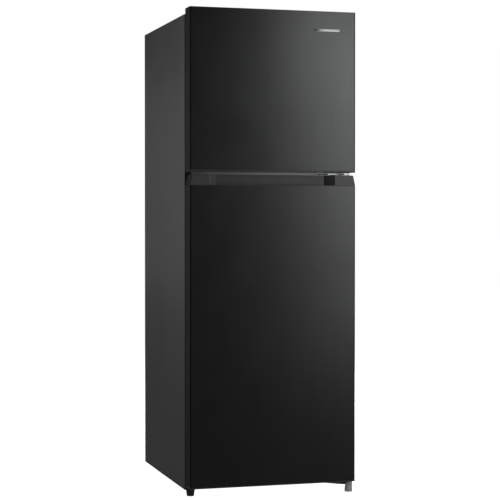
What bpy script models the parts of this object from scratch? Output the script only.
"""A two-door refrigerator with the freezer on top. Metres, +Z up, X to the right, Y to the back.

The doors' front is at -Y, the floor at Z = 0, and the object stands centred on the origin.
"""

from math import cos, pi, radians, sin

import bmesh
import bpy
from mathutils import Euler, Vector

# Driving dimensions
WIDTH = 0.550
DEPTH = 0.660
HEIGHT = 1.548
DOOR_THICK = 0.0595
DOOR_STANDOFF = 0.0095
CABINET_BOTTOM = 0.023
CABINET_TOP = 1.532
FRIDGE_DOOR_BOTTOM = 0.0355
FRIDGE_DOOR_TOP = 1.0235
FREEZER_DOOR_BOTTOM = 1.033
SHEET = 0.0008
GAP = 0.0003
LINER = 0.0015

# Planes worked out from them
HALF = WIDTH / 2
FRONT = -DEPTH / 2
BACK = DEPTH / 2
DOOR_BACK = FRONT + DOOR_THICK
CABINET_FRONT = DOOR_BACK + DOOR_STANDOFF
INSIDE = HALF - SHEET - GAP
FLANGE = 0.022
HINGE = Vector((0.261, -0.305, 0))

# Compartments, inside their liners
FREEZER_HALF = 0.215
FREEZER_LOW, FREEZER_HIGH = 1.060, 1.470
FREEZER_BACK = 0.255
FRIDGE_HALF = 0.230
FRIDGE_LOW, FRIDGE_HIGH = 0.076, 0.997
FRIDGE_BACK = 0.275
HUMP_TOP, HUMP_FRONT = 0.300, 0.080
RAIL_LOW, RAIL_HIGH = 1.0035, 1.0535
MACHINE_FRONT, MACHINE_TOP = 0.126, 0.2715
EVAPORATOR_COVER = 0.185

# Shelves and drawers
FREEZER_SHELF_Z = 1.255
FRIDGE_SHELF_Z = (0.735, 0.515)
CRISPER_COVER_Z = 0.303
SHELF_FRONT = -0.130
RIB_DEPTH = 0.011
RIB_HIGH = 0.006
WALL = 0.002

# Margins of the shapes that cut others
OVER = 0.01
FAR = 0.02

# Hinges and feet
PLATE_TOP = 0.0025
PLATE_MIDDLE = 0.003
PIN = 0.004
PIN_REACH = 0.017
SOCKET = 0.0043
SOCKET_DEEP = 0.0225
ARM = 0.0078
ARM_BACK = -0.188
ARM_FRONT = -0.2525
MIDDLE_PLATE_Z = 1.0267
BOTTOM_PLATE_Z = 0.0245
TOP_PLATE_Z = CABINET_TOP + 0.0004
POCKET_FLOOR = CABINET_TOP - 0.0008
POCKET_LEFT = 0.249
HINGE_SCREWS = [(0.222, -0.205), (0.222, -0.232)]
HINGE_SCREW_RADIUS = 0.0028
HINGE_COVER = ((0.196, -0.2580), (0.2735, -0.165))
BRACKET_NOSE = -0.316
NOTCH = -0.286
TAB = 0.0025
LEFT_FOOT = (-0.2515, -0.240)
LEFT_FOOT_HOLE = 0.0055
FOOT_THREAD = 0.004
BASE_FOLD = 0.060

# Condenser coil, against the left side sheet
COIL_FRONT, COIL_BACK = -0.170, 0.250
COIL_LOW, COIL_HIGH = 0.330, 1.440
COIL_TUBE = 0.0024
COIL_RUNS = 7
COIL_ROOM = 0.012

# Machine compartment
ROLLER_X, ROLLER_Y, ROLLER_RADIUS, ROLLER_HALF = 0.225, 0.285, 0.0165, 0.008
ROLLER_PLAY = 0.0015
LUG = 0.002
AXLE = 0.003
BASE_Z = 0.0265
BASE_SHEET = 0.0015
COMPRESSOR = (0.085, 0.224)
CAN_LOW = 0.047
CAN_TALL = 0.140
CAN_PLATE_HALF = (0.082, 0.040)
CAN_FEET = (0.072, 0.030)
PAN_HALF = 0.075
PAN_TALL = 0.034
COVER_SLOTS_X = (-0.170, -0.057, 0.057, 0.170)
COVER_SLOT_HALF = 0.042
COVER_SLOT_HIGH = 0.006
COVER_SLOT_PITCH = 0.022
COVER_SLOT_ROWS = 8

# Freezer's air and ice
FAN = (0.0, 0.2060, 1.385)
FAN_BLADES = 5
TRAY_AXIS = (-0.1560, 0.040, 1.388)
TRAY_HALF = 0.043
TRAY_DEEP = 0.024
TRAY_RIB = 0.003
TRAY_COLUMNS, TRAY_ROWS = 2, 6
TRAY_SWING = 0.0495
TRAY_SHAFT = 0.0050
ICE_FRONT, ICE_REAR = -0.055, 0.140
FREEZER_RACK = (-0.145, 0.178)
RACK_SLOTS = 11
RACK_SLOT_PITCH = 0.035
RACK_SLOT_HALF = 0.0115

# Refrigerator's fittings
DUCT_HALF, DUCT_DEEP = 0.075, 0.014
DUCT_LOW, DUCT_HIGH = 0.400, 0.985
DUCT_SLOTS_Z = (0.475, 0.600, 0.690, 0.820, 0.905)
DUCT_SLOT_X, DUCT_SLOT_HALF, DUCT_SLOT_HIGH = 0.040, 0.020, 0.010
CONTROL_LOW, CONTROL_FRONT = 0.958, -0.110
CONTROL_HALF, CONTROL_REAR = 0.105, 0.030
LENS_HALF, LENS_REAR = 0.085, 0.095
KNOB = (0.050, CONTROL_FRONT - 0.0073, 0.977)
KNOB_RADIUS = 0.0135
SHELF_REAR = 0.245
SHELF_PLAY = 0.0012
GLASS_THICK = 0.004
TRIM_DEEP = 0.019
TRIM_OVERLAP = 0.008
TRIM_BELOW, TRIM_ABOVE = 0.005, 0.012
CRISPER_COVER_REAR = 0.268
CRISPER_HALF, CRISPER_FRONT = 0.2170, -0.118
SLIDER = (0.120, SHELF_FRONT - 0.0028, CRISPER_COVER_Z + 0.0035)

# Doors
SHEET_BEND = 0.005
DYKE = 0.020
DYKE_DEEP = 0.025
FREEZER_DYKE, FREEZER_DYKE_LOW, FREEZER_DYKE_HIGH = 0.2065, 1.0665, 1.4620
FRIDGE_DYKE, FRIDGE_DYKE_LOW, FRIDGE_DYKE_HIGH = 0.2215, 0.0850, 0.9815
GASKET_HALF = 0.2605
GASKET_WIDE = 0.016
FREEZER_GASKET = (1.0395, 1.5090)
FRIDGE_GASKET = (0.0560, 1.0170)
LINER_BACK = DOOR_BACK - 0.0017
FOAM_CORNER = 0.0045
CAP_WALL = 0.003
CAP_ROOM_LEFT, CAP_ROOM_RIGHT = -0.268, 0.240
FREEZER_CAP_LIP = 0.0052
FREEZER_CAP_TOP = 1.060
TOP_CAP_LOW = 1.512
GRIP_CAP_LOW = 0.9895
GRIP_LEFT, GRIP_RIGHT = -0.211, 0.205
GRIP_DEEP = 0.028
GRIP_FLOOR = GRIP_CAP_LOW + 0.0022
FREEZER_WELL = ((-0.205, -0.3180), (0.199, -0.2960))
FREEZER_WELL_HIGH = 1.056
CAP_TAPER = 0.0075
WELL_LOW = 0.966
CAP_SKIRT_LOW = 0.960
BOTTOM_CAP_LIP = 0.0047
BOTTOM_CAP_TOP = 0.060
FREEZER_BINS = ((1.275, 0.078, "upper"), (1.105, 0.078, "lower"))
FRIDGE_BINS = ((0.800, 0.084, "upper"), (0.545, 0.084, "middle"), (0.120, 0.097, "bottle"))
BIN_TALL, BOTTLE_BIN_TALL = 0.085, 0.130
BIN_PLAY = 0.0015
PEG = 0.006

# Materials: name, colour, roughness, metallic
STEEL_DARK = ("coated_steel", (0.030, 0.032, 0.031), 0.32, 0.6)
STEEL_SIDE = ("side_paint", (0.075, 0.078, 0.077), 0.45, 0.3)
ZINC = ("zinc_steel", (0.60, 0.61, 0.62), 0.35, 1.0)
LINER_WHITE = ("liner_plastic", (0.86, 0.87, 0.87), 0.45, 0.0)
CAP_DARK = ("cap_plastic", (0.045, 0.047, 0.046), 0.40, 0.0)
FOAM = ("rigid_foam", (0.85, 0.76, 0.50), 0.90, 0.0)
CLEAR = ("clear_plastic", (0.80, 0.86, 0.88), 0.10, 0.0)
GLASS = ("shelf_glass", (0.75, 0.86, 0.84), 0.05, 0.0)
WHITE = ("white_plastic", (0.82, 0.83, 0.83), 0.40, 0.0)
GREY = ("grey_plastic", (0.42, 0.43, 0.44), 0.50, 0.0)
RUBBER = ("seal_rubber", (0.10, 0.10, 0.10), 0.75, 0.0)
BLACK = ("black_paint", (0.015, 0.015, 0.015), 0.45, 0.2)
COPPER = ("copper_tube", (0.72, 0.40, 0.24), 0.30, 1.0)
ALUMINIUM = ("fin_aluminium", (0.80, 0.80, 0.80), 0.40, 1.0)


# --- Helpers -------------------------------------------------------------------------------


def clear_scene():
    for obj in list(bpy.data.objects):
        bpy.data.objects.remove(obj, do_unlink=True)
    for group in list(bpy.data.collections):
        bpy.data.collections.remove(group)


def new_collection(name):
    group = bpy.data.collections.new(name)
    bpy.context.scene.collection.children.link(group)
    return group


def material(spec):
    name, colour, roughness, metallic = spec
    found = bpy.data.materials.get(name)
    if found:
        return found
    made = bpy.data.materials.new(name)
    made.use_nodes = True
    shader = made.node_tree.nodes["Principled BSDF"]
    shader.inputs["Base Color"].default_value = (*colour, 1.0)
    shader.inputs["Roughness"].default_value = roughness
    shader.inputs["Metallic"].default_value = metallic
    return made


def finish(obj, spec):
    """Puts an object among the parts, or among the cutters when it has no material."""
    group = bpy.data.collections["cutters" if spec is None else "top_freezer_refrigerator"]
    for old in list(obj.users_collection):
        old.objects.unlink(obj)
    group.objects.link(obj)
    if spec is None:
        obj.hide_render = True
        obj.display_type = "WIRE"
    else:
        obj.data.materials.clear()
        obj.data.materials.append(material(spec))
    return obj


def mesh_object(name, mesh_data, spec, location=(0, 0, 0)):
    mesh = bpy.data.meshes.new(name)
    mesh_data.to_mesh(mesh)
    mesh_data.free()
    obj = bpy.data.objects.new(name, mesh)
    bpy.context.scene.collection.objects.link(obj)
    obj.location = location
    return finish(obj, spec)


def add_cube(mesh_data, low, high, centre=Vector()):
    low, high = Vector(low), Vector(high)
    made = bmesh.ops.create_cube(mesh_data, size=1.0)
    bmesh.ops.scale(mesh_data, vec=high - low, verts=made["verts"])
    bmesh.ops.translate(mesh_data, vec=(low + high) / 2 - centre, verts=made["verts"])


def block(name, low, high, spec=None, bevel=0.0, segments=1):
    """A box between two corners, with its origin at its middle."""
    centre = (Vector(low) + Vector(high)) / 2
    shape = bmesh.new()
    add_cube(shape, low, high, centre)
    obj = mesh_object(name, shape, spec, centre)
    if bevel:
        round_edges(obj, bevel, segments)
    return obj


def blocks(name, boxes, spec=None):
    """Several boxes that stay apart, in one object."""
    shape = bmesh.new()
    for low, high in boxes:
        add_cube(shape, low, high)
    return mesh_object(name, shape, spec)


def rod(name, centre, radius, length, spec=None, axis="Z", sides=16):
    """A cylinder about its centre."""
    shape = bmesh.new()
    bmesh.ops.create_cone(
        shape, cap_ends=True, segments=sides, radius1=radius, radius2=radius, depth=length
    )
    obj = mesh_object(name, shape, spec, centre)
    turn = {"X": (0, pi / 2, 0), "Y": (pi / 2, 0, 0), "Z": (0, 0, 0)}[axis]
    obj.rotation_euler = Euler(turn)
    if spec:
        obj.data.set_sharp_from_angle(angle=radians(40))
    return obj


def rods(name, places, radius, length, axis="Z", sides=16):
    """Several cutter cylinders in one object."""
    made = [rod(f"{name}_{i}", p, radius, length, None, axis, sides) for i, p in enumerate(places)]
    return merge(name, made)


def merge(name, objects):
    """One mesh object from several that don't touch."""
    shape = bmesh.new()
    for obj in objects:
        bpy.context.view_layer.update()
        part = obj.data.copy()
        part.transform(obj.matrix_world)
        shape.from_mesh(part)
        bpy.data.meshes.remove(part)
        bpy.data.objects.remove(obj, do_unlink=True)
    return mesh_object(name, shape, None)


def lathe(name, profile, centre, spec, steps=24):
    """A turned shape about Z: the profile's (radius, height) points run from the top to the bottom."""
    shape = bmesh.new()
    points = [shape.verts.new((r, 0, z)) for r, z in profile]
    for above, below in zip(points, points[1:]):
        shape.edges.new((above, below))
    obj = mesh_object(name, shape, spec, centre)
    screw = obj.modifiers.new("turn", "SCREW")
    screw.steps = screw.render_steps = steps
    screw.use_merge_vertices = True
    screw.merge_threshold = 0.00005
    screw.use_smooth_shade = True
    return obj


def outline(name, points, low, high, spec=None):
    """A flat outline in plan, as a mesh between two heights."""
    curve = bpy.data.curves.new(name, "CURVE")
    curve.dimensions = "2D"
    curve.fill_mode = "BOTH"
    curve.extrude = (high - low) / 2
    spline = curve.splines.new("POLY")
    spline.points.add(len(points) - 1)
    for point, (x, y) in zip(spline.points, points):
        point.co = (x, y, 0, 1)
    spline.use_cyclic_u = True
    return curve_to_mesh(name, curve, spec, (0, 0, (low + high) / 2))


def tube(name, points, radius, spec, sides=2):
    """A round tube along points, as a welded mesh."""
    curve = bpy.data.curves.new(name, "CURVE")
    curve.dimensions = "3D"
    curve.bevel_depth = radius
    curve.bevel_resolution = sides
    curve.use_fill_caps = True
    spline = curve.splines.new("POLY")
    spline.points.add(len(points) - 1)
    for point, place in zip(spline.points, points):
        point.co = (*place, 1)
    return curve_to_mesh(name, curve, spec, (0, 0, 0))


def curve_to_mesh(name, curve, spec, location):
    draft = bpy.data.objects.new(name + "_draft", curve)
    bpy.context.scene.collection.objects.link(draft)
    bpy.context.view_layer.update()
    mesh = bpy.data.meshes.new_from_object(draft.evaluated_get(bpy.context.evaluated_depsgraph_get()))
    shape = bmesh.new()
    shape.from_mesh(mesh)
    bmesh.ops.remove_doubles(shape, verts=shape.verts, dist=0.00001)
    bpy.data.objects.remove(draft, do_unlink=True)
    bpy.data.meshes.remove(mesh)
    bpy.data.curves.remove(curve)
    return mesh_object(name, shape, spec, location)


def strip(name, profile, plane, low, high, thickness, spec):
    """Folded sheet: a profile's outer line in the XY or YZ plane, run along the third axis.

    The metal lies to the left of the profile's direction as seen against that axis.
    """
    shape = bmesh.new()
    if plane == "XY":
        start, run = [(a, b, low) for a, b in profile], Vector((0, 0, high - low))
    else:
        start, run = [(low, a, b) for a, b in profile], Vector((high - low, 0, 0))
    points = [shape.verts.new(p) for p in start]
    edges = [shape.edges.new(pair) for pair in zip(points, points[1:])]
    grown = bmesh.ops.extrude_edge_only(shape, edges=edges)
    moved = [v for v in grown["geom"] if isinstance(v, bmesh.types.BMVert)]
    bmesh.ops.translate(shape, vec=run, verts=moved)
    bmesh.ops.recalc_face_normals(shape, faces=shape.faces)
    first = next(f for f in shape.faces if points[0] in f.verts)
    if first.normal.dot((points[1].co - points[0].co).cross(run)) < 0:
        bmesh.ops.reverse_faces(shape, faces=shape.faces)
    obj = mesh_object(name, shape, spec)
    shell = obj.modifiers.new("thickness", "SOLIDIFY")
    shell.thickness = thickness
    shell.offset = -1.0
    shell.use_even_offset = True
    return obj


def round_edges(obj, width, segments=1, angle=40):
    bevel = obj.modifiers.new("edges", "BEVEL")
    bevel.width = width
    bevel.segments = segments
    bevel.limit_method = "ANGLE"
    bevel.angle_limit = radians(angle)
    return obj


def boolean(obj, tool, operation):
    step = obj.modifiers.new(tool.name, "BOOLEAN")
    step.operation = operation
    step.object = tool
    step.solver = "EXACT"
    return obj


def cut(obj, *tools):
    for tool in tools:
        boolean(obj, tool, "DIFFERENCE")
    return obj


def join(obj, *tools):
    for tool in tools:
        boolean(obj, tool, "UNION")
    return obj


def pivot(name, location, pieces):
    """An empty on a joint's axis, holding the pieces that move on it."""
    empty = bpy.data.objects.new(name, None)
    empty.empty_display_size = 0.03
    empty.location = location
    bpy.data.collections["top_freezer_refrigerator"].objects.link(empty)
    for piece in pieces:
        piece.parent = empty
        piece.location = Vector(piece.location) - Vector(location)
    return empty


def arc(centre, radius, start, end, steps):
    """Points on an arc, with angles in degrees."""
    turns = [radians(start + (end - start) * i / steps) for i in range(steps + 1)]
    return [(centre[0] + radius * cos(t), centre[1] + radius * sin(t)) for t in turns]


def open_box(name, low, high, wall, spec, corner):
    """A tray or bin: a rounded box open at the top."""
    low, high = Vector(low), Vector(high)
    above = Vector((0, 0, 4 * corner))
    body = block(name, low, high + above, spec, corner)
    inner_low = low + Vector((wall, wall, wall))
    inner_high = high + 2 * above - Vector((wall, wall, 0))
    hollow = block(name + "_hollow", inner_low, inner_high, None, corner - wall)
    margin = Vector((corner, corner, 0))
    above_rim = Vector((low.x, low.y, high.z)) - margin
    trim = block(name + "_above_rim", above_rim, high + 2 * above + margin)
    return cut(body, hollow, trim)


# --- Cabinet -------------------------------------------------------------------------------


def side_panels():
    """Two folded sheets, each with a flange turned in at the front."""
    turn = 0.0012
    top = CABINET_TOP
    rear = BACK - SHEET - GAP
    right = [(HALF - FLANGE, CABINET_FRONT)]
    right += arc((HALF - turn, CABINET_FRONT + turn), turn, -90, 0, 2)
    right += [(HALF, rear)]
    left = [(-x, y) for x, y in reversed(right)]
    strip("left_side_panel", left, "XY", CABINET_BOTTOM, top, SHEET, STEEL_SIDE)
    strip("right_side_panel", right, "XY", CABINET_BOTTOM, top, SHEET, STEEL_SIDE)


def top_panel():
    """The top sheet, with its front edge turned down between the side flanges."""
    inner = HALF - FLANGE - GAP
    lip = CABINET_FRONT + SHEET + 2 * GAP
    sheet = block(
        "top_panel",
        (-INSIDE, lip - GAP / 2, CABINET_TOP - SHEET),
        (INSIDE, BACK - SHEET - GAP, CABINET_TOP),
        STEEL_SIDE,
    )
    fold = block("top_fold", (-inner, CABINET_FRONT, CABINET_TOP - FLANGE), (inner, lip, CABINET_TOP))
    return join(sheet, fold)


def rear_panel():
    return block(
        "rear_panel",
        (-HALF + GAP, BACK - SHEET, MACHINE_TOP + SHEET + GAP),
        (HALF - GAP, BACK, CABINET_TOP - GAP),
        STEEL_SIDE,
    )


def base_plate():
    """The bottom sheet, which climbs over the machine compartment."""
    profile = [
        (CABINET_FRONT, BASE_FOLD),
        (CABINET_FRONT, CABINET_BOTTOM),
        (MACHINE_FRONT, CABINET_BOTTOM),
        (MACHINE_FRONT, MACHINE_TOP),
        (BACK - SHEET - GAP, MACHINE_TOP),
    ]
    plate = strip("base_plate", profile, "YZ", -INSIDE, INSIDE, SHEET, ZINC)
    edge = HALF - FLANGE - GAP
    behind = CABINET_FRONT + SHEET + GAP
    corners = [
        ((edge, CABINET_FRONT - OVER, 0), (HALF + OVER, behind, BASE_FOLD + OVER)),
        ((-HALF - OVER, CABINET_FRONT - OVER, 0), (-edge, behind, BASE_FOLD + OVER)),
    ]
    cut(plate, blocks("base_corners", corners))
    return cut(plate, rod("left_foot_hole", (*LEFT_FOOT, CABINET_BOTTOM), LEFT_FOOT_HOLE, FAR))


def insulation_foam():
    """The foam between the cabinet's sheets and the liners."""
    skin = LINER + GAP
    foam = block(
        "insulation_foam",
        (-INSIDE, CABINET_FRONT + LINER + GAP, CABINET_BOTTOM + SHEET + GAP),
        (INSIDE, BACK - SHEET - GAP, CABINET_TOP - SHEET - GAP),
        FOAM,
    )
    ahead = CABINET_FRONT - FAR
    freezer = block(
        "foam_freezer",
        (-FREEZER_HALF - skin, ahead, FREEZER_LOW - skin),
        (FREEZER_HALF + skin, FREEZER_BACK + skin, FREEZER_HIGH + skin),
    )
    fridge = block(
        "foam_fridge",
        (-FRIDGE_HALF - skin, ahead, HUMP_TOP - skin),
        (FRIDGE_HALF + skin, FRIDGE_BACK + skin, FRIDGE_HIGH + skin),
    )
    crisper = block(
        "foam_crisper",
        (-FRIDGE_HALF - skin, ahead, FRIDGE_LOW - skin),
        (FRIDGE_HALF + skin, HUMP_FRONT + skin, HUMP_TOP + OVER),
    )
    machine = block(
        "foam_machine",
        (-HALF, MACHINE_FRONT - SHEET - GAP, 0),
        (HALF, BACK + OVER, MACHINE_TOP + SHEET + GAP),
    )
    coil = block(
        "foam_coil",
        (-HALF, COIL_FRONT - COIL_ROOM, COIL_LOW - COIL_ROOM),
        (-INSIDE + 2 * COIL_TUBE + 0.001, COIL_BACK + COIL_ROOM, COIL_HIGH + COIL_ROOM),
    )
    foot = rod("foam_foot", (*LEFT_FOOT, CABINET_BOTTOM), FOOT_THREAD + 0.003, 0.054, sides=8)
    return cut(foam, freezer, fridge, crisper, machine, coil, foot)


def condenser_coil():
    """The serpentine tube against the left side sheet, which gives off the heat."""
    x = -INSIDE + COIL_TUBE + GAP
    half_pitch = (COIL_BACK - COIL_FRONT) / (COIL_RUNS - 1) / 2
    low, high = COIL_LOW + half_pitch, COIL_HIGH - half_pitch
    bend_steps = 4
    points = []
    for i in range(COIL_RUNS):
        y = COIL_FRONT + 2 * i * half_pitch
        upward = i % 2 == 0
        points += [(x, y, low), (x, y, high)] if upward else [(x, y, high), (x, y, low)]
        if i == COIL_RUNS - 1:
            continue
        middle, end, sign = y + half_pitch, high if upward else low, 1 if upward else -1
        for step in range(1, bend_steps):
            t = pi - pi * step / bend_steps
            points.append((x, middle + half_pitch * cos(t), end + sign * half_pitch * sin(t)))
    return tube("condenser_coil", points, COIL_TUBE, COPPER, 1)


def liner(name, rooms, flange_low, flange_high, ribs):
    """A compartment's plastic lining: a front flange, thin walls, and ribs for the shelves."""
    edge = HALF - FLANGE - GAP
    shell = block(
        name,
        (-edge, CABINET_FRONT, flange_low),
        (edge, CABINET_FRONT + LINER, flange_high),
        WHITE if name == "freezer_liner" else LINER_WHITE,
    )
    walls = []
    for i, (low, high) in enumerate(rooms):
        low, high = Vector(low), Vector(high)
        grow = Vector((LINER, LINER, LINER))
        outer_low = low - grow
        outer_low.y = CABINET_FRONT + LINER / 2
        walls.append(block(f"{name}_wall_{i}", outer_low, high + grow))
    join(shell, *walls)
    for i, (low, high) in enumerate(rooms):
        cut(shell, block(f"{name}_room_{i}", (low[0], CABINET_FRONT - FAR, low[2]), high))
    if ribs:
        join(shell, blocks(name + "_ribs", ribs))
    return shell


def rib_pair(half, z, y_low, y_high):
    """Two shelf supports, one on each side wall."""
    sunk = half + LINER / 2
    return [
        ((-sunk, y_low, z - RIB_HIGH), (-half + RIB_DEPTH, y_high, z - GAP)),
        ((half - RIB_DEPTH, y_low, z - RIB_HIGH), (sunk, y_high, z - GAP)),
    ]


def freezer_liner():
    room = ((-FREEZER_HALF, 0, FREEZER_LOW), (FREEZER_HALF, FREEZER_BACK, FREEZER_HIGH))
    ribs = rib_pair(FREEZER_HALF, FREEZER_SHELF_Z, -0.120, 0.165)
    low, high = RAIL_HIGH + GAP, CABINET_TOP - FLANGE - GAP
    return liner("freezer_liner", [room], low, high, ribs)


def fridge_liner():
    upper = ((-FRIDGE_HALF, 0, HUMP_TOP), (FRIDGE_HALF, FRIDGE_BACK, FRIDGE_HIGH))
    lower = ((-FRIDGE_HALF, 0, FRIDGE_LOW), (FRIDGE_HALF, HUMP_FRONT, HUMP_TOP + LINER))
    ribs = []
    for z in FRIDGE_SHELF_Z:
        ribs += rib_pair(FRIDGE_HALF, z, SHELF_FRONT + 0.022, 0.240)
    ribs += rib_pair(FRIDGE_HALF, CRISPER_COVER_Z, SHELF_FRONT + 0.022, HUMP_FRONT - 0.010)
    return liner("fridge_liner", [upper, lower], 0.0603, RAIL_LOW - GAP, ribs)


def mullion_rail():
    """The steel cross rail between the two openings."""
    edge = HALF - FLANGE - GAP
    return block(
        "mullion_rail",
        (-edge, CABINET_FRONT, RAIL_LOW),
        (edge, CABINET_FRONT + LINER, RAIL_HIGH),
        ZINC,
    )


# --- Hinges and feet -----------------------------------------------------------------------


def top_hinge_bracket():
    """A plate on the cabinet's top, whose arm carries the freezer door's upper pin."""
    x, y = HINGE.x, HINGE.y
    points = [(0.205, ARM_BACK), (0.205, -0.238), (0.236, ARM_FRONT), (x - ARM, ARM_FRONT)]
    points += arc((x, y), ARM, 180, 360, 8)
    points += [(x + ARM, ARM_BACK)]
    plate = outline("top_hinge_bracket", points, TOP_PLATE_Z, TOP_PLATE_Z + PLATE_TOP, ZINC)
    pin = rod("top_pin", (x, y, TOP_PLATE_Z - 0.0065), PIN, 0.0150)
    places = [(*place, TOP_PLATE_Z) for place in HINGE_SCREWS]
    holes = rods("top_screws", places, HINGE_SCREW_RADIUS, FAR)
    return cut(join(plate, pin), holes)


def top_hinge_cover():
    """The plastic cap over the top hinge, open underneath and where the arm leaves it."""
    low = Vector((*HINGE_COVER[0], CABINET_TOP + GAP))
    high = Vector((*HINGE_COVER[1], HEIGHT - 0.0010))
    cover = block("top_hinge_cover", low, high, CAP_DARK, 0.0035, 2)
    inside = block(
        "hinge_cover_room",
        (low.x + WALL, low.y + WALL, low.z - OVER),
        (high.x - WALL, high.y - WALL, high.z - WALL),
    )
    mouth = block(
        "hinge_cover_mouth",
        (HINGE.x - ARM - 0.004, low.y - OVER, low.z - OVER),
        (high.x - WALL - 0.0005, low.y + 2 * WALL, TOP_PLATE_Z + PLATE_TOP + 0.0015),
    )
    return cut(cover, inside, mouth)


def middle_hinge_bracket():
    """The bracket between the doors, with a pin up into one and a pin down into the other."""
    x, y = HINGE.x, HINGE.y
    foot = CABINET_FRONT - GAP
    low, high = MIDDLE_PLATE_Z, MIDDLE_PLATE_Z + PLATE_MIDDLE
    nose = y - BRACKET_NOSE
    ear = -0.312
    points = [(0.180, foot), (0.182, -0.300), (0.187, ear), (0.212, ear)]
    points += [(0.217, NOTCH), (0.236, NOTCH), (0.2405, BRACKET_NOSE), (x, BRACKET_NOSE)]
    points += arc((x, y), nose, -90, 0, 4)[1:]
    points += [(x + nose, foot)]
    plate = outline("middle_hinge_bracket", points, low, high, ZINC)
    tab = block(
        "middle_tab",
        (0.168, foot - TAB + GAP / 3, RAIL_LOW + 0.016),
        (x + 0.010, foot, RAIL_HIGH - 0.017),
    )
    pin = rod("middle_pin", (x, y, (low + high) / 2), PIN, PLATE_MIDDLE + 2 * PIN_REACH)
    return join(plate, tab, pin)


def bottom_hinge_bracket():
    """The bracket under the refrigerator door, with its pin and its flange on the cabinet."""
    x, y = HINGE.x, HINGE.y
    foot = CABINET_FRONT - GAP
    low, high = BOTTOM_PLATE_Z, BOTTOM_PLATE_Z + PLATE_MIDDLE
    points = [(0.182, foot), (0.240, BRACKET_NOSE)]
    points += arc((x, y), 0.0125, -110, 0, 5)
    points += [(x + 0.0125, foot)]
    plate = outline("bottom_hinge_bracket", points, low, high, ZINC)
    tab = block("bottom_tab", (0.184, foot - TAB, low), (0.2525, foot, 0.051))
    pin = rod("bottom_pin", (x, y, high + 0.0105), PIN, 0.0225)
    return join(plate, tab, pin)


def feet():
    """Two levelling feet, which turn on their threads."""
    top = CABINET_BOTTOM - GAP
    left = lathe(
        "left_foot",
        [(0, 0.046), (FOOT_THREAD, 0.046), (FOOT_THREAD, top), (0.0135, top), (0.0142, top - 0.003),
         (0.0118, 0.001), (0.0108, 0), (0, 0)],
        (*LEFT_FOOT, 0), BLACK,
    )
    pivot("left_foot_axis", (*LEFT_FOOT, 0), [left])
    stem = BOTTOM_PLATE_Z - GAP
    right = lathe(
        "right_foot",
        [(0, stem), (0.006, stem), (0.006, 0.0205), (0.0125, 0.0205), (0.0135, 0.0195),
         (0.0135, 0.001), (0.0125, 0), (0, 0)],
        (HINGE.x, HINGE.y, 0), ZINC,
    )
    pivot("right_foot_axis", (HINGE.x, HINGE.y, 0), [right])


# --- Machine compartment -------------------------------------------------------------------


def compressor_base():
    """The steel tray that carries the compressor and the axles of the rear rollers."""
    tray = block(
        "compressor_base",
        (-INSIDE + GAP, MACHINE_FRONT + 0.004, BASE_Z),
        (INSIDE - GAP, BACK - 0.006, BASE_Z + BASE_SHEET),
        ZINC,
    )
    windows, lugs = [], []
    reach = ROLLER_RADIUS + 0.004
    wide = ROLLER_HALF + ROLLER_PLAY
    low = ROLLER_RADIUS - 2 * AXLE
    for x in (-ROLLER_X, ROLLER_X):
        windows.append(((x - wide, ROLLER_Y - reach, 0), (x + wide, ROLLER_Y + reach, 0.05)))
        for side in (-1, 1):
            near, far = sorted((x + side * wide, x + side * (wide + LUG)))
            lugs.append(((near, ROLLER_Y - 0.012, low), (far, ROLLER_Y + 0.012, BASE_Z + 0.001)))
    axles = [(x, ROLLER_Y, ROLLER_RADIUS) for x in (-ROLLER_X, ROLLER_X)]
    cut(tray, blocks("roller_windows", windows))
    join(tray, blocks("roller_lugs", lugs))
    length = 2 * (wide + LUG - 0.0005)
    return join(tray, rods("roller_axles", axles, AXLE, length, "X", 12))


def rollers():
    for x, name in ((-ROLLER_X, "left_roller"), (ROLLER_X, "right_roller")):
        place = (x, ROLLER_Y, ROLLER_RADIUS)
        wheel = rod(name, place, ROLLER_RADIUS, 2 * ROLLER_HALF, GREY, "X", 24)
        cut(wheel, rod(name + "_bore", place, AXLE + GAP, 2 * FAR, None, "X", 12))
        pivot(name + "_axis", place, [wheel])


def compressor():
    """The sealed pump: a turned can on a footed plate."""
    can = lathe(
        "compressor",
        [(0, CAN_TALL), (0.030, 0.137), (0.052, 0.124), (0.062, 0.100), (0.064, 0.070), (0.069, 0.068),
         (0.069, 0.064), (0.064, 0.062), (0.062, 0.030), (0.050, 0.008), (0.030, 0), (0, 0)],
        (*COMPRESSOR, CAN_LOW), BLACK, 20,
    )
    x, y = COMPRESSOR
    half_x, half_y = CAN_PLATE_HALF
    plate = block(
        "compressor_plate",
        (x - half_x, y - half_y, CAN_LOW - 0.001),
        (x + half_x, y + half_y, CAN_LOW + 0.002),
    )
    low = BASE_Z + BASE_SHEET + GAP
    middle = (low + CAN_LOW) / 2
    foot_x, foot_y = CAN_FEET
    places = [(x + a * foot_x, y + b * foot_y, middle) for a in (-1, 1) for b in (-1, 1)]
    return join(can, plate, rods("compressor_feet", places, 0.008, CAN_LOW - low, "Z", 12))


def drain_pan():
    """The tray on the compressor where the melt water dries off."""
    x, y = COMPRESSOR
    z = CAN_LOW + CAN_TALL + GAP
    low = (x - PAN_HALF, y - PAN_HALF - 0.005, z)
    high = (x + PAN_HALF, y + PAN_HALF, z + PAN_TALL)
    return open_box("drain_pan", low, high, WALL, CAP_DARK, 0.004)


def suction_line():
    """The copper tube that brings the gas back to the pump."""
    x, y = COMPRESSOR
    side = x + 0.0705
    points = [
        (side, y, 0.100), (side + 0.030, y, 0.102), (side + 0.040, y + 0.004, 0.112),
        (side + 0.040, y + 0.010, 0.255), (side + 0.030, y + 0.012, 0.264),
        (side - 0.010, y + 0.012, 0.2665),
    ]
    return tube("suction_line", points, 0.0040, COPPER, 1)


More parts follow.
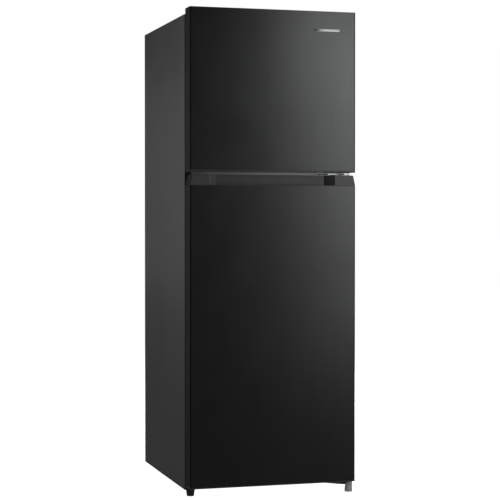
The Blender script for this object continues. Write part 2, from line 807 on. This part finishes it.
def machine_cover():
    """The louvred cover over the machine compartment."""
    low, high = CABINET_BOTTOM + 0.006, MACHINE_TOP - GAP
    rear = BACK - SHEET
    cover = block(
        "machine_cover",
        (-INSIDE + GAP, rear - WALL, low),
        (INSIDE - GAP, rear, high),
        CAP_DARK,
    )
    slots = []
    for x in COVER_SLOTS_X:
        for row in range(COVER_SLOT_ROWS):
            z = low + 0.040 + row * COVER_SLOT_PITCH
            slot_low = (x - COVER_SLOT_HALF, BACK - OVER, z)
            slots.append((slot_low, (x + COVER_SLOT_HALF, BACK + OVER, z + COVER_SLOT_HIGH)))
    return cut(cover, blocks("cover_slots", slots))


# --- Inside the cabinet --------------------------------------------------------------------


def evaporator_cover():
    """The panel over the cooling coil, with air slots above and below."""
    half, front = FREEZER_HALF - 3 * GAP, EVAPORATOR_COVER
    cover = block(
        "evaporator_cover",
        (-half, front, FREEZER_LOW + GAP),
        (half, front + 0.003, FREEZER_HIGH - GAP),
        WHITE,
    )
    before, behind = front - FAR, front + FAR
    fan_slot_half, return_slot_half = 0.048, 0.014
    slots = []
    for row in range(5):
        z = FAN[2] - 0.032 + row * 0.014
        slots.append(((-fan_slot_half, before, z), (fan_slot_half, behind, z + 0.006)))
    low, high = FREEZER_LOW + 0.014, FREEZER_LOW + 0.024
    for column in range(9):
        x = -0.176 + column * 0.044
        slots.append(((x - return_slot_half, before, low), (x + return_slot_half, behind, high)))
    return cut(cover, blocks("evaporator_slots", slots))


def evaporator_coil():
    """The cooling coil: a looped tube through a row of fins."""
    y_front, y_rear = 0.207, 0.235
    y = (y_front + y_rear) / 2
    half, loop_out = 0.165, 0.015
    pitch = 0.045
    rows = [FREEZER_LOW + (i + 1) * pitch for i in range(4)]
    points = []
    for i, z in enumerate(rows):
        side = 1 if i % 2 == 0 else -1
        points += [(-side * half, y, z), (side * half, y, z)]
        if z < rows[-1]:
            points.append((side * (half + loop_out), y, z + pitch / 2))
    coil = tube("evaporator_coil", points, 0.004, ALUMINIUM, 1)
    fin_half, fin_over = 0.0006, 0.018
    fins = [
        ((x - fin_half, y_front, rows[0] - fin_over), (x + fin_half, y_rear, rows[-1] + fin_over))
        for x in (-0.14 + i * 0.035 for i in range(9))
    ]
    return join(coil, blocks("evaporator_fins", fins))


def fan():
    """The freezer's fan: a motor on the liner's back and a wheel of pitched blades."""
    x, _, z = FAN
    motor = rod("fan_motor", (x, 0.2360, z), 0.022, 0.036, GREY, "Y", 20)
    rear = FREEZER_BACK - 0.0005
    plate = block("fan_motor_plate", (x - 0.050, rear - 0.0045, z - 0.012), (x + 0.050, rear, z + 0.012))
    join(motor, plate)
    hub = rod("fan_blade", FAN, 0.013, 0.022, GREY, "Y", 16)
    for i in range(FAN_BLADES):
        turn = 2 * pi * i / FAN_BLADES
        blade = block(f"blade_{i}", (-0.011, -0.0007, 0.008), (0.011, 0.0007, 0.042))
        blade.data.transform(Euler((0, 0, radians(35))).to_matrix().to_4x4())
        centre = Vector((0, 0, 0.025))
        centre.rotate(Euler((0, turn, 0)))
        blade.location = Vector(FAN) + centre
        blade.rotation_euler = Euler((0, turn, 0))
        join(hub, blade)
    pivot("fan_axis", FAN, [hub])


def air_duct_cover():
    """The raised panel on the refrigerator's back wall that spreads the cold air."""
    rear = FRIDGE_BACK - GAP
    low, high = (-DUCT_HALF, rear - DUCT_DEEP, DUCT_LOW), (DUCT_HALF, rear, DUCT_HIGH)
    cover = block("air_duct_cover", low, high, LINER_WHITE, 0.004, 1)
    before, behind = rear - DUCT_DEEP - OVER, rear - DUCT_DEEP + 0.006
    slots = []
    for z in DUCT_SLOTS_Z:
        for x in (-DUCT_SLOT_X, DUCT_SLOT_X):
            near, far = x - DUCT_SLOT_HALF, x + DUCT_SLOT_HALF
            slots.append(((near, before, z), (far, behind, z + DUCT_SLOT_HIGH)))
    return cut(cover, blocks("duct_slots", slots))


def controls():
    """The thermostat housing on the ceiling, its knob, and the lamp's lens behind it."""
    top = FRIDGE_HIGH - GAP
    low, high = (-CONTROL_HALF, CONTROL_FRONT, CONTROL_LOW), (CONTROL_HALF, CONTROL_REAR, top)
    block("control_housing", low, high, LINER_WHITE, 0.005, 2)
    low, high = (-LENS_HALF, CONTROL_REAR + 0.0005, CONTROL_LOW + 0.008), (LENS_HALF, LENS_REAR, top)
    block("lamp_lens", low, high, CLEAR, 0.004, 2)
    knob = rod("temperature_knob", KNOB, KNOB_RADIUS, 0.0140, GREY, "Y", 24)
    bar = block("knob_bar", (-0.0022, -0.0035, -0.0120), (0.0022, 0.0035, 0.0120))
    bar.location = Vector(KNOB) + Vector((0, -0.0075, 0))
    join(knob, bar)
    pivot("temperature_axis", KNOB, [knob])


def shelf(name, half, front, rear, z):
    """A glass shelf with a moulded trim along its front edge. Returns its two pieces."""
    lap = front + TRIM_OVERLAP
    glass = block(name + "_glass", (-half, lap, z), (half, rear, z + GLASS_THICK), GLASS)
    low, high = (-half, front, z - TRIM_BELOW), (half, front + TRIM_DEEP, z + TRIM_ABOVE)
    trim = block(name + "_trim", low, high, WHITE, 0.002, 1)
    groove = block(
        name + "_groove",
        (-half - OVER, lap - GAP, z - GAP),
        (half + OVER, front + TRIM_DEEP + OVER, z + GLASS_THICK + GAP),
    )
    cut(trim, groove)
    return [glass, trim]


def freezer_shelf(half):
    """A moulded rack with a raised front edge."""
    (front, rear), z = FREEZER_RACK, FREEZER_SHELF_Z
    rack = block("freezer_shelf", (-half, front, z), (half, rear, z + 0.004), WHITE)
    edge = block("freezer_shelf_edge", (-half, front, z - 0.006), (half, front + 0.008, z + 0.014))
    round_edges(edge, 0.0020, 1)
    slots = []
    border = 0.030
    for i in range(RACK_SLOTS):
        x = RACK_SLOT_PITCH * (i - (RACK_SLOTS - 1) / 2)
        low = (x - RACK_SLOT_HALF, front + border, z - OVER)
        slots.append((low, (x + RACK_SLOT_HALF, rear - border, z + OVER)))
    return cut(join(rack, edge), blocks("freezer_shelf_slots", slots))


def shelves():
    rack = freezer_shelf(FREEZER_HALF - SHELF_PLAY)
    pivot("freezer_shelf_run", (0, 0, FREEZER_SHELF_Z), [rack])
    half = FRIDGE_HALF - SHELF_PLAY
    for z, name in zip(FRIDGE_SHELF_Z, ("upper", "middle")):
        pieces = shelf(f"fridge_shelf_{name}", half, SHELF_FRONT, SHELF_REAR, z)
        pivot(f"fridge_shelf_{name}_run", (0, 0, z), pieces)


def crisper():
    """The vegetable drawer, its fixed glass cover, and the slider for its air."""
    half = FRIDGE_HALF - SHELF_PLAY
    shelf("crisper_cover", half, SHELF_FRONT, CRISPER_COVER_REAR, CRISPER_COVER_Z)
    low = Vector((-CRISPER_HALF, CRISPER_FRONT, FRIDGE_LOW + 0.002))
    high = Vector((CRISPER_HALF, HUMP_FRONT - 0.004, CRISPER_COVER_Z - 0.010))
    drawer = open_box("crisper_drawer", low, high, 0.0025, CLEAR, 0.006)
    grip = block(
        "crisper_grip",
        (-0.10, CRISPER_FRONT - 0.009, high.z - 0.026),
        (0.10, CRISPER_FRONT + 0.001, high.z - 0.012),
    )
    join(drawer, grip)
    pivot("crisper_run", (0, 0, low.z), [drawer])
    nub = block("humidity_slider", (-0.010, -0.0025, -0.0035), (0.010, 0.0025, 0.0035), GREY, 0.001, 1)
    nub.location = SLIDER
    pivot("humidity_run", SLIDER, [nub])


def ice_maker():
    """A frame on the freezer's left wall, with a tray that is twisted to drop the ice."""
    x, _, z = TRAY_AXIS
    front, rear = ICE_FRONT, ICE_REAR
    end_wall, side_wall = 2 * WALL, 3 * WALL
    frame = block(
        "ice_maker_frame",
        (-FREEZER_HALF + GAP, front, z - 0.026),
        (x + TRAY_SWING + WALL, rear, z + TRAY_SWING + WALL),
        WHITE,
    )
    room = block(
        "ice_frame_room",
        (-FREEZER_HALF + GAP + side_wall, front + end_wall, z - 0.05),
        (x + TRAY_SWING, rear - end_wall, z + TRAY_SWING),
    )
    bores = rods("ice_frame_bores", [(x, front, z), (x, rear, z)], TRAY_SHAFT + GAP, 0.03, "Y")
    cut(frame, room, bores)
    play, brim_deep = 0.003, 0.006
    low = Vector((x - TRAY_HALF, front + end_wall + play, z - TRAY_DEEP))
    high = Vector((x + TRAY_HALF, rear - end_wall - play, z + brim_deep))
    tray = block("ice_tray", low, high, GREY)
    rib = TRAY_RIB
    wide = (high.x - low.x - rib * (TRAY_COLUMNS + 1)) / TRAY_COLUMNS
    long = (high.y - low.y - rib * (TRAY_ROWS + 1)) / TRAY_ROWS
    cells = []
    for column in range(TRAY_COLUMNS):
        for row in range(TRAY_ROWS):
            cx = low.x + rib + column * (wide + rib)
            cy = low.y + rib + row * (long + rib)
            cells.append(((cx, cy, low.z + rib), (cx + wide, cy + long, high.z + OVER)))
    brim = block(
        "ice_tray_brim",
        low + Vector((rib, rib, TRAY_DEEP - brim_deep)),
        high + Vector((-rib, -rib, OVER)),
    )
    cut(tray, blocks("ice_cells", cells), brim)
    front_shaft = rod("ice_shaft_front", (x, low.y - 0.0095, z), TRAY_SHAFT, 0.0210, axis="Y")
    rear_shaft = rod("ice_shaft_rear", (x, high.y + 0.0030, z), TRAY_SHAFT, 0.0090, axis="Y")
    lever = block(
        "ice_lever",
        (x - 0.007, low.y - 0.025, z - 0.030),
        (x + 0.007, low.y - 0.015, z + 0.008),
    )
    join(tray, front_shaft, rear_shaft, lever)
    pivot("ice_tray_axis", TRAY_AXIS, [tray])


def ice_bin():
    low = (-0.205, -0.060, FREEZER_SHELF_Z + 0.004 + GAP)
    high = (-0.030, 0.150, FREEZER_SHELF_Z + 0.080)
    box = open_box("ice_bin", low, high, WALL, CLEAR, 0.005)
    pivot("ice_bin_run", low, [box])


# --- Doors ---------------------------------------------------------------------------------


def door_panel(name, low, high):
    """The bent steel front, wrapped round both sides."""
    turn = SHEET_BEND
    right = arc((HALF - turn, FRONT + turn), turn, -90, 0, 3) + [(HALF, DOOR_BACK)]
    left = [(-x, y) for x, y in reversed(right)]
    return strip(name, left + right, "XY", low, high, SHEET, STEEL_DARK)


def door_liner(name, low, high, dyke_half, dyke_low, dyke_high, bins):
    """The moulded inner face: a flat border, a raised rim, and lugs that hold the bins."""
    sheet = block(name, (-INSIDE, LINER_BACK, low), (INSIDE, DOOR_BACK, high), LINER_WHITE)
    rear = DOOR_BACK + DYKE_DEEP
    inner = dyke_half - DYKE
    rim_low = (-dyke_half, LINER_BACK + 0.0005, dyke_low)
    rim = block(name + "_rim", rim_low, (dyke_half, rear, dyke_high))
    hollow = block(
        name + "_bay",
        (-inner, DOOR_BACK, dyke_low + DYKE),
        (inner, rear + OVER, dyke_high - DYKE),
    )
    join(sheet, rim)
    cut(sheet, hollow)
    pegs = []
    for z, _, _ in bins:
        for side in (-1, 1):
            near, far = sorted((side * (inner - PEG), side * (inner + 0.001)))
            pegs.append(((near, DOOR_BACK + 0.002, z - 2 * PEG), (far, rear - 0.002, z - GAP)))
    return join(sheet, blocks(name + "_lugs", pegs))


def gasket(name, low, high):
    """The magnetic seal round the door's inner face."""
    front, rear = DOOR_BACK + GAP, CABINET_FRONT - GAP
    inner = GASKET_HALF - GASKET_WIDE
    ring = block(name, (-GASKET_HALF, front, low), (GASKET_HALF, rear, high), RUBBER)
    inside = block(
        name + "_inside",
        (-inner, front - OVER, low + GASKET_WIDE),
        (inner, rear + OVER, high - GASKET_WIDE),
    )
    return cut(ring, inside)


def socket(name, low, high):
    """A hinge pin's hole in a door cap."""
    return rod(name, (HINGE.x, HINGE.y, (low + high) / 2), SOCKET, high - low)


def door_foam(name, low, high):
    inside_front = FRONT + SHEET + GAP
    foam = block(name, (-INSIDE, inside_front, low), (INSIDE, LINER_BACK - GAP, high), FOAM)
    return round_edges(foam, FOAM_CORNER, 1)


def freezer_door():
    lip_top = FREEZER_DOOR_BOTTOM + FREEZER_CAP_LIP
    panel = door_panel("freezer_door_panel", lip_top + GAP, HEIGHT)
    pocket = block(
        "hinge_pocket",
        (POCKET_LEFT, FRONT + 0.005, POCKET_FLOOR),
        (HALF + 0.025, DOOR_BACK + FAR, HEIGHT + FAR),
    )
    cut(panel, pocket)
    door_foam("freezer_door_foam", FREEZER_CAP_TOP + GAP, TOP_CAP_LOW - GAP)
    dyke = (FREEZER_DYKE, FREEZER_DYKE_LOW, FREEZER_DYKE_HIGH)
    door_liner("freezer_door_liner", lip_top + GAP, TOP_CAP_LOW - GAP, *dyke, FREEZER_BINS)
    gasket("freezer_door_gasket", *FREEZER_GASKET)

    inside_front, inside_rear = FRONT + SHEET + GAP, LINER_BACK - GAP
    top = block(
        "freezer_door_top_cap",
        (-INSIDE, inside_front, TOP_CAP_LOW),
        (INSIDE, DOOR_BACK, HEIGHT),
        CAP_DARK,
    )
    round_edges(top, 0.0040, 1)
    room = block(
        "top_cap_room",
        (-INSIDE + CAP_WALL, inside_front + CAP_WALL, TOP_CAP_LOW - OVER),
        (CAP_ROOM_RIGHT, DOOR_BACK - CAP_WALL, HEIGHT - CAP_WALL),
    )
    cut(top, room, pocket, socket("top_socket", TOP_CAP_LOW + 0.004, POCKET_FLOOR + OVER))

    bottom = block(
        "freezer_door_bottom_cap",
        (-INSIDE, inside_front, FREEZER_DOOR_BOTTOM + 0.001),
        (INSIDE, inside_rear, FREEZER_CAP_TOP),
        CAP_DARK,
    )
    lip = block("freezer_cap_lip", (-HALF, FRONT, FREEZER_DOOR_BOTTOM), (HALF, DOOR_BACK, lip_top))
    round_edges(lip, 0.0015, 1)
    skirt_corners = skirt_corner_boxes(lip_top, FREEZER_CAP_TOP + OVER)
    well_low, well_high = FREEZER_WELL
    well = block(
        "freezer_well",
        (*well_low, FREEZER_DOOR_BOTTOM - OVER),
        (*well_high, FREEZER_WELL_HIGH),
    )
    room = block(
        "freezer_cap_room",
        (CAP_ROOM_LEFT, well_high[1] + CAP_WALL, lip_top + 0.0028),
        (CAP_ROOM_RIGHT, inside_rear - CAP_WALL, FREEZER_CAP_TOP + FAR),
    )
    hole = socket("freezer_bottom_socket", FREEZER_DOOR_BOTTOM - OVER, MIDDLE_PLATE_Z + SOCKET_DEEP)
    cut(bottom, blocks("freezer_skirt_corners", skirt_corners))
    join(bottom, lip)
    cut(bottom, well, room, hole)


def skirt_corner_boxes(low, high):
    """Boxes that take a cap's skirt clear of the front sheet's rounded corners."""
    near = INSIDE - 0.004
    front = FRONT + SHEET
    return [
        ((-HALF - OVER, front - OVER, low), (-near, front + FOAM_CORNER, high)),
        ((near, front - OVER, low), (HALF + OVER, front + FOAM_CORNER, high)),
    ]


def grip_cap():
    """The cap on the refrigerator door: a hand scoop in front, with a well behind the steel's edge."""
    inside_front, inside_rear = FRONT + SHEET + GAP, LINER_BACK - GAP
    high = FRIDGE_DOOR_TOP
    low = (-HALF, FRONT, GRIP_CAP_LOW + GAP)
    cap = block("fridge_door_grip_cap", low, (HALF, DOOR_BACK, high), CAP_DARK)
    for vertex in cap.data.vertices:
        if vertex.co.z > 0:
            vertex.co.x -= CAP_TAPER * (1 if vertex.co.x > 0 else -1)
    round_edges(cap, 0.0020, 2)
    skirt = block(
        "grip_cap_skirt",
        (-INSIDE + 0.004, inside_front, CAP_SKIRT_LOW),
        (INSIDE - 0.004, inside_rear, GRIP_CAP_LOW + OVER),
    )
    front, rear = FRONT - FAR, FRONT + GRIP_DEEP
    left, right = GRIP_LEFT + GRIP_DEEP, GRIP_RIGHT - GRIP_DEEP
    plan = [(GRIP_LEFT - FAR, front), (GRIP_RIGHT + FAR, front), (right, rear), (left, rear)]
    scoop = outline("grip_scoop", plan, GRIP_FLOOR, high + FAR)
    well = block("grip_well", (left, FRONT + 0.005, WELL_LOW), (right, rear, GRIP_FLOOR + 0.001))
    room = block(
        "grip_cap_room",
        (-0.262, rear + 0.0025, CAP_SKIRT_LOW - OVER),
        (CAP_ROOM_RIGHT, inside_rear - CAP_WALL, high - 0.004),
    )
    hole = socket("grip_cap_socket", MIDDLE_PLATE_Z - SOCKET_DEEP, high + OVER)
    join(cap, skirt)
    return cut(cap, scoop, well, room, hole)


def fridge_door():
    lip_top = FRIDGE_DOOR_BOTTOM + BOTTOM_CAP_LIP
    door_panel("fridge_door_panel", lip_top + GAP, GRIP_CAP_LOW)
    door_foam("fridge_door_foam", BOTTOM_CAP_TOP + GAP, CAP_SKIRT_LOW - GAP)
    dyke = (FRIDGE_DYKE, FRIDGE_DYKE_LOW, FRIDGE_DYKE_HIGH)
    door_liner("fridge_door_liner", lip_top + GAP, GRIP_CAP_LOW, *dyke, FRIDGE_BINS)
    gasket("fridge_door_gasket", *FRIDGE_GASKET)
    grip_cap()
    inside_front, inside_rear = FRONT + SHEET + GAP, LINER_BACK - GAP
    bottom = block(
        "fridge_door_bottom_cap",
        (-INSIDE, inside_front, FRIDGE_DOOR_BOTTOM + 0.001),
        (INSIDE, inside_rear, BOTTOM_CAP_TOP),
        CAP_DARK,
    )
    lip = block("fridge_cap_lip", (-HALF, FRONT, FRIDGE_DOOR_BOTTOM), (HALF, DOOR_BACK, lip_top))
    round_edges(lip, 0.0015, 1)
    skirt_corners = skirt_corner_boxes(lip_top, BOTTOM_CAP_TOP + OVER)
    room = block(
        "fridge_cap_room",
        (CAP_ROOM_LEFT, inside_front + CAP_WALL, lip_top + 0.0023),
        (CAP_ROOM_RIGHT, inside_rear - CAP_WALL, BOTTOM_CAP_TOP + FAR),
    )
    hole_top = BOTTOM_PLATE_Z + PLATE_MIDDLE + SOCKET_DEEP
    hole = socket("fridge_bottom_socket", FRIDGE_DOOR_BOTTOM - OVER, hole_top)
    cut(bottom, blocks("fridge_skirt_corners", skirt_corners))
    join(bottom, lip)
    cut(bottom, room, hole)


def door_bins():
    """The open bins on the doors, each on its own lift-off pivot."""
    for bins, half, prefix in (
        (FREEZER_BINS, FREEZER_DYKE - DYKE - BIN_PLAY, "freezer_bin"),
        (FRIDGE_BINS, FRIDGE_DYKE - DYKE - BIN_PLAY, "fridge_bin"),
    ):
        for z, deep, name in bins:
            tall = BOTTLE_BIN_TALL if name == "bottle" else BIN_TALL
            low = (-half, DOOR_BACK + GAP, z)
            high = (half, DOOR_BACK + deep, z + tall)
            piece = open_box(f"{prefix}_{name}", low, high, WALL, CLEAR, 0.005)
            pivot(f"{prefix}_{name}_lift", low, [piece])


def build():
    clear_scene()
    new_collection("top_freezer_refrigerator")
    new_collection("cutters")
    side_panels()
    top_panel()
    rear_panel()
    base_plate()
    insulation_foam()
    condenser_coil()
    freezer_liner()
    fridge_liner()
    mullion_rail()
    top_hinge_bracket()
    top_hinge_cover()
    middle_hinge_bracket()
    bottom_hinge_bracket()
    feet()
    compressor_base()
    rollers()
    compressor()
    drain_pan()
    suction_line()
    machine_cover()
    evaporator_cover()
    evaporator_coil()
    fan()
    air_duct_cover()
    controls()
    shelves()
    crisper()
    ice_maker()
    ice_bin()
    freezer_door()
    fridge_door()
    door_bins()


build()
